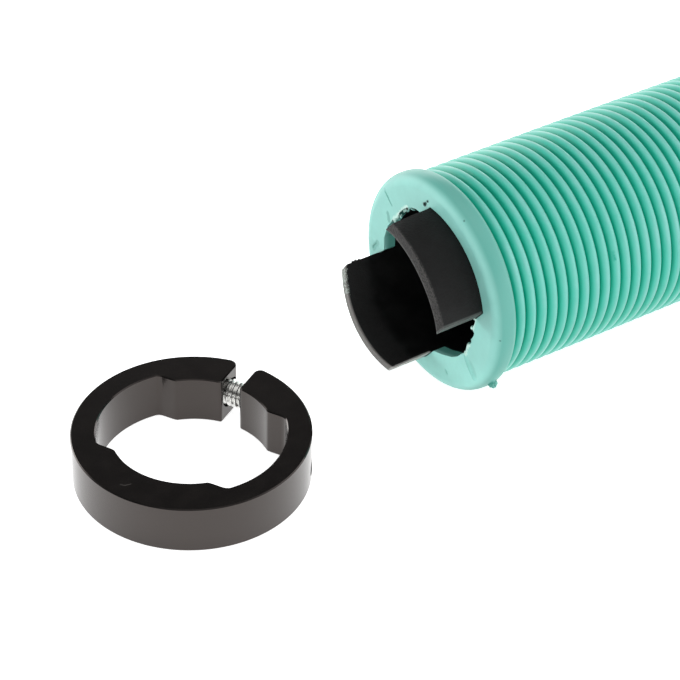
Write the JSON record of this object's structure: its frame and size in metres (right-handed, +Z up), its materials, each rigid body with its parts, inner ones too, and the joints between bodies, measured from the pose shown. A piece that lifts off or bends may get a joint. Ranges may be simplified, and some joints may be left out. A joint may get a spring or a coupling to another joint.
{
  "type": "handlebar grip",
  "caption": "Ribbed rubber bicycle handlebar grip moulded over a hard plastic core with two drive tabs, its split clamp ring and screw lying in front.",
  "frame": {"origin": "on the floor, under the middle of the whole part's bounding box", "axes": "+X along the grip's own axis, from the loose clamp ring towards the grip's outer end; +Z up, off the surface it lies on; +Y to the left when looking along +X"},
  "size_m": [0.1854, 0.034, 0.0337],
  "materials": {
    "sleeve_rubber": "matt mint green silicone-like rubber, fine mould haze",
    "core_plastic": "matt black nylon, lighter scraped edges",
    "ring_anodised": "black satin anodised, turned",
    "screw_steel": "bright zinc plated"
  },
  "bodies": {
    "root": {"grip_sleeve": "sleeve_rubber", "inner_core": "core_plastic", "lock_ring": "ring_anodised", "clamp_screw": "screw_steel"}
  },
  "joints": []
}
